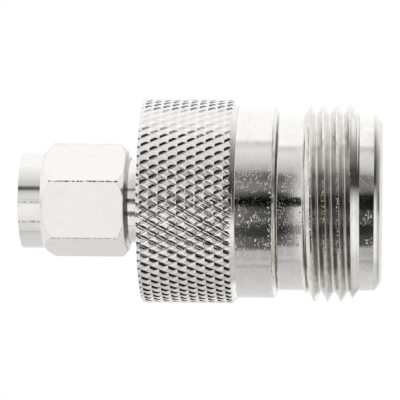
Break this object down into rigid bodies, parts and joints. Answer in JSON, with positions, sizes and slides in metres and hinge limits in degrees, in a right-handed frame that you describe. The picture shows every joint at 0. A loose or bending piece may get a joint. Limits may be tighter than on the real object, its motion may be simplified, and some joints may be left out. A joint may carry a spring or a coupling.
{
  "type": "coaxial adapter",
  "caption": "Coaxial adapter from a threaded type N jack to an SMA plug, with a diamond knurled body, a free turning hexagon coupling nut and spring socket and pin contacts.",
  "frame": {"origin": "centre of the type N jack's front face, on which the adapter stands", "axes": "+Z along the axis from the type N jack towards the SMA plug; in the picture +X is up and -Y faces the camera"},
  "size_m": [0.0162, 0.0162, 0.0287],
  "materials": {
    "shell_plating": "bright nickel plating, fine turning marks",
    "body_plating": "bright nickel plating over a knurl",
    "plug_plating": "bright nickel plating",
    "nut_plating": "bright nickel plating, worn dark at the edges",
    "ring_bronze": "plain spring bronze",
    "gasket_silicone": "matt moulded silicone",
    "insulator_ptfe": "turned PTFE, waxy white",
    "contact_gold": "satin gold plating"
  },
  "bodies": {
    "shell": {"n_jack_shell": "shell_plating", "knurled_body": "body_plating", "sma_plug_shell": "plug_plating", "sma_gasket": "gasket_silicone", "n_insulator": "insulator_ptfe", "sma_insulator": "insulator_ptfe", "n_centre_contact": "contact_gold", "sma_centre_pin": "contact_gold"},
    "ring": {"snap_ring": "ring_bronze"},
    "nut": {"coupling_nut": "nut_plating"}
  },
  "joints": [
    {"name": "nut_float", "type": "slide", "parent": "shell", "child": "ring", "axis": [0, 0, 1], "range_m": [0, 0.0003]},
    {"name": "nut_turn", "type": "hinge", "parent": "ring", "child": "nut", "pos_m": [0, 0, 0.022], "axis": [0, 0, 1], "continuous": true}
  ]
}
